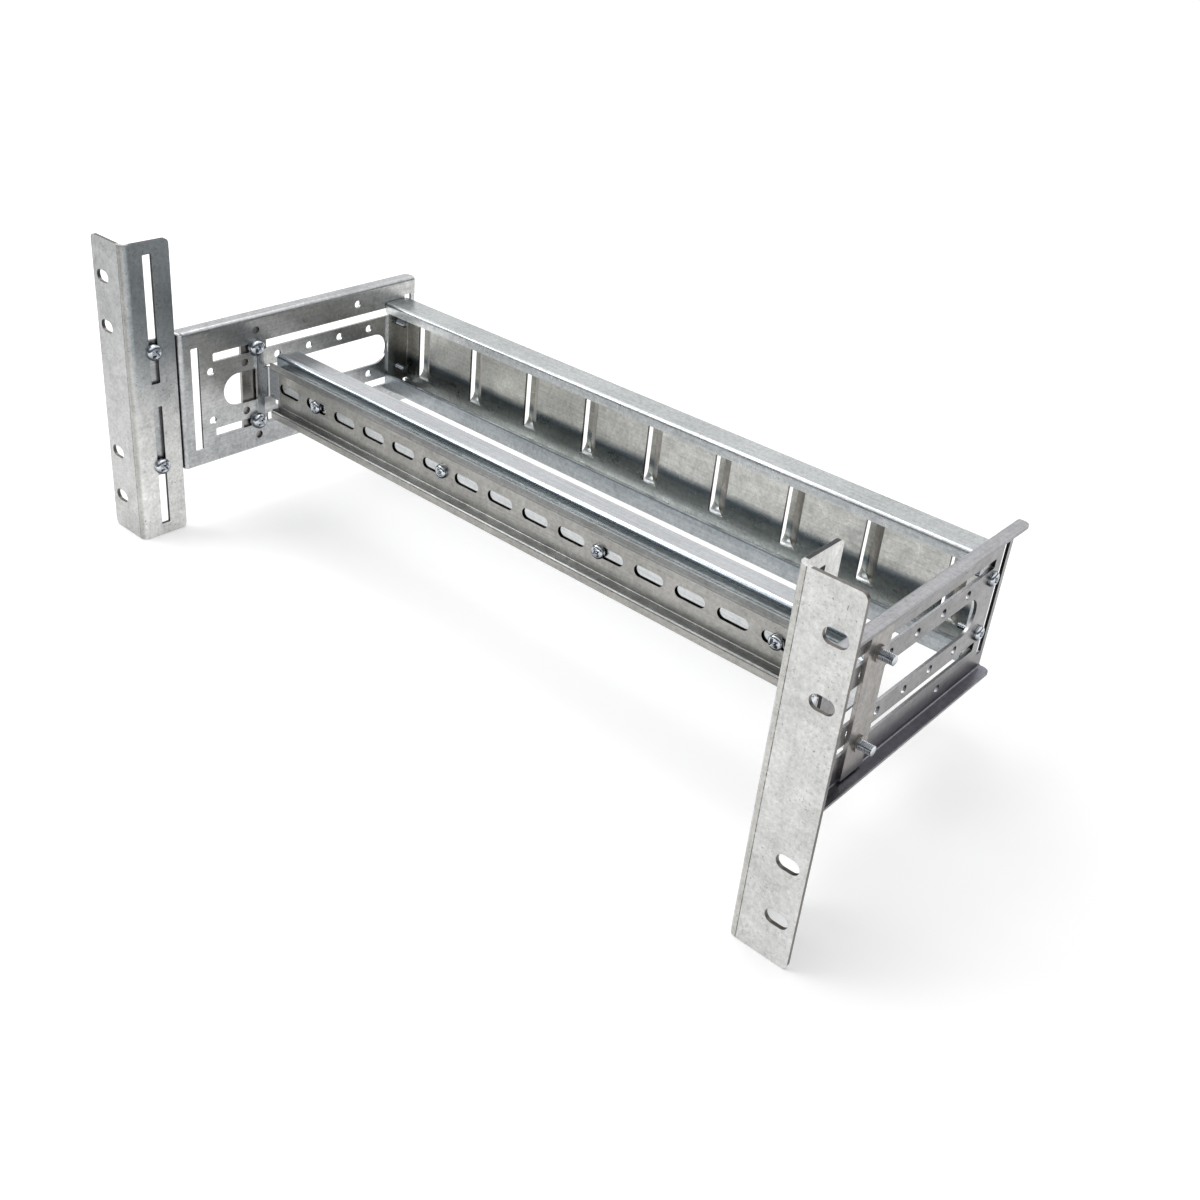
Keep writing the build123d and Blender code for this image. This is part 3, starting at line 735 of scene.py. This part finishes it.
def add_fasteners(zinc):
    """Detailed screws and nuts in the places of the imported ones."""
    masters = {kind: pan_head_screw(kind, *sizes) for kind, sizes in SCREWS.items()}
    masters.update({kind: chamfered_nut(kind, *sizes) for kind, sizes in NUTS.items()})
    for node in sorted(steel):
        kind = next((kind for kind in masters if node.endswith(kind)), None)
        if kind is None:
            continue
        head_height = SCREWS[kind][2] if kind in SCREWS else 0.0
        low, high = (Vector(corner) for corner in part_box(node))
        middle = (low + high) / 2
        side = 1 if middle.x > 0 else -1
        if kind in ("rail_screw", "rail_nut"):
            place, turn = (middle.x, low.y + head_height, middle.z), (-90, 0, 0)
        elif kind == "crossmember_screw":
            # heads outside, tips inside
            bearing = (high.x if side > 0 else low.x) - side * head_height
            place, turn = (bearing, middle.y, middle.z), (0, -90 * side, 0)
        else:
            # heads inside, tips and nuts outside
            bearing = (low.x if side > 0 else high.x) + side * head_height
            place, turn = (bearing, middle.y, middle.z), (0, 90 * side, 0)
        set_in_place(masters[kind], node, turn, place, zinc)
    deselect_all()
    for master in masters.values():
        master.select_set(True)
    bpy.ops.object.delete()


WHITE = (1.0, 1.0, 1.0, 1.0)

# Mirrored room: dark walls, then a bright ceiling from one share of the leaning axis to the next
WALL_COLOUR = (0.10, 0.12, 0.15, 1.0)
CEILING_AXIS = (-0.24, 0.18, 1.0)
CEILING_START = 0.26
CEILING_FULL = 0.52

# Strength of the world where it lights surfaces, and where it is seen or mirrored
WORLD_LIGHT = 0.55
WORLD_SIGHT = 1.0

# Floor: its tone, and its glow near the object and far from it, for seen and mirrored rays only
FLOOR_TONE = (0.80, 0.80, 0.80, 1.0)
NEAR_REACH = 0.35
FAR_REACH = 1.1
NEAR_GLOW = 0.32
FAR_GLOW = 0.60


def sight_rays(tree):
    """1 for rays from the camera, a mirror or glass, 0 for rays that light a surface."""
    path = tree.nodes.new("ShaderNodeLightPath")
    seen = path.outputs["Is Camera Ray"]
    for ray in ("Is Glossy Ray", "Is Transmission Ray"):
        add = tree.nodes.new("ShaderNodeMath")
        add.operation = "MAXIMUM"
        tree.links.new(seen, add.inputs[0])
        tree.links.new(path.outputs[ray], add.inputs[1])
        seen = add.outputs["Value"]
    return seen


def set_world():
    """Even light for the surfaces; the metal mirrors a bright ceiling above dark walls."""
    world = bpy.data.worlds.new("studio")
    world.use_nodes = True
    bpy.context.scene.world = world
    tree = world.node_tree
    background = tree.nodes["Background"]
    direction = tree.nodes.new("ShaderNodeTexCoord").outputs["Generated"]
    lean = tree.nodes.new("ShaderNodeVectorMath")
    lean.operation = "DOT_PRODUCT"
    lean.inputs[1].default_value = CEILING_AXIS
    tree.links.new(direction, lean.inputs[0])
    rise = tree.nodes.new("ShaderNodeMapRange")
    rise.inputs["From Min"].default_value = CEILING_START
    rise.inputs["From Max"].default_value = CEILING_FULL
    rise.interpolation_type = "SMOOTHSTEP"
    tree.links.new(lean.outputs["Value"], rise.inputs["Value"])
    room = tree.nodes.new("ShaderNodeMix")
    room.data_type = "RGBA"
    room.inputs[6].default_value = WALL_COLOUR
    room.inputs[7].default_value = WHITE
    tree.links.new(rise.outputs["Result"], room.inputs["Factor"])
    mirrored = tree.nodes.new("ShaderNodeLightPath").outputs["Is Glossy Ray"]
    tone = tree.nodes.new("ShaderNodeMix")
    tone.data_type = "RGBA"
    tone.inputs[6].default_value = WHITE
    tree.links.new(mirrored, tone.inputs["Factor"])
    tree.links.new(room.outputs[2], tone.inputs[7])
    tree.links.new(tone.outputs[2], background.inputs["Color"])
    seen = sight_rays(tree)
    level = tree.nodes.new("ShaderNodeMapRange")
    level.inputs["To Min"].default_value = WORLD_LIGHT
    level.inputs["To Max"].default_value = WORLD_SIGHT
    tree.links.new(seen, level.inputs["Value"])
    tree.links.new(level.outputs["Result"], background.inputs["Strength"])


def set_floor():
    """Plain pale floor that keeps the object's soft shadow."""
    deselect_all()
    floor_height = cad_box[0][2] - FLOOR_GAP
    bpy.ops.mesh.primitive_plane_add(size=FLOOR_SIZE, location=(0, 0, floor_height))
    bpy.ops.object.transform_apply(location=True, rotation=False, scale=False)
    floor = bpy.context.object
    floor.name = "floor"
    material = bpy.data.materials.new("pale_floor")
    material.use_nodes = True
    tree = material.node_tree
    shader = tree.nodes["Principled BSDF"]
    shader.inputs["Base Color"].default_value = FLOOR_TONE
    shader.inputs["Roughness"].default_value = 1.0
    shader.inputs["Specular IOR Level"].default_value = 0.0
    shader.inputs["Emission Color"].default_value = WHITE
    seen = sight_rays(tree)
    place = tree.nodes.new("ShaderNodeTexCoord").outputs["Object"]
    reach = tree.nodes.new("ShaderNodeVectorMath")
    reach.operation = "LENGTH"
    tree.links.new(place, reach.inputs[0])
    level = tree.nodes.new("ShaderNodeMapRange")
    level.inputs["From Min"].default_value = NEAR_REACH
    level.inputs["From Max"].default_value = FAR_REACH
    level.inputs["To Min"].default_value = NEAR_GLOW
    level.inputs["To Max"].default_value = FAR_GLOW
    tree.links.new(reach.outputs["Value"], level.inputs["Value"])
    glow = tree.nodes.new("ShaderNodeMath")
    glow.operation = "MULTIPLY"
    tree.links.new(level.outputs["Result"], glow.inputs[0])
    tree.links.new(seen, glow.inputs[1])
    tree.links.new(glow.outputs["Value"], shader.inputs["Emission Strength"])
    floor.data.materials.append(material)


def add_softbox(name, place, size, power, aim=(0.0, 0.1, 0.0)):
    """Square soft light that looks at the aim point; metres and watts."""
    deselect_all()
    bpy.ops.object.light_add(type="AREA", location=place)
    lamp = bpy.context.object
    lamp.name = name
    lamp.data.shape = "SQUARE"
    lamp.data.size = size
    lamp.data.energy = power
    direction = Vector(aim) - Vector(place)
    lamp.rotation_euler = direction.to_track_quat("-Z", "Y").to_euler()


def set_lights():
    """Large soft lights: overhead, and a weaker one from the left front."""
    add_softbox("overhead_softbox", place=(-0.35, 0.25, 1.6), size=1.3, power=14.0)
    add_softbox("left_softbox", place=(-1.3, -0.9, 1.2), size=1.0, power=12.0)


set_camera()
add_fasteners(set_finishes())
set_world()
set_floor()
set_lights()

bpy.context.scene.view_settings.view_transform = "Standard"
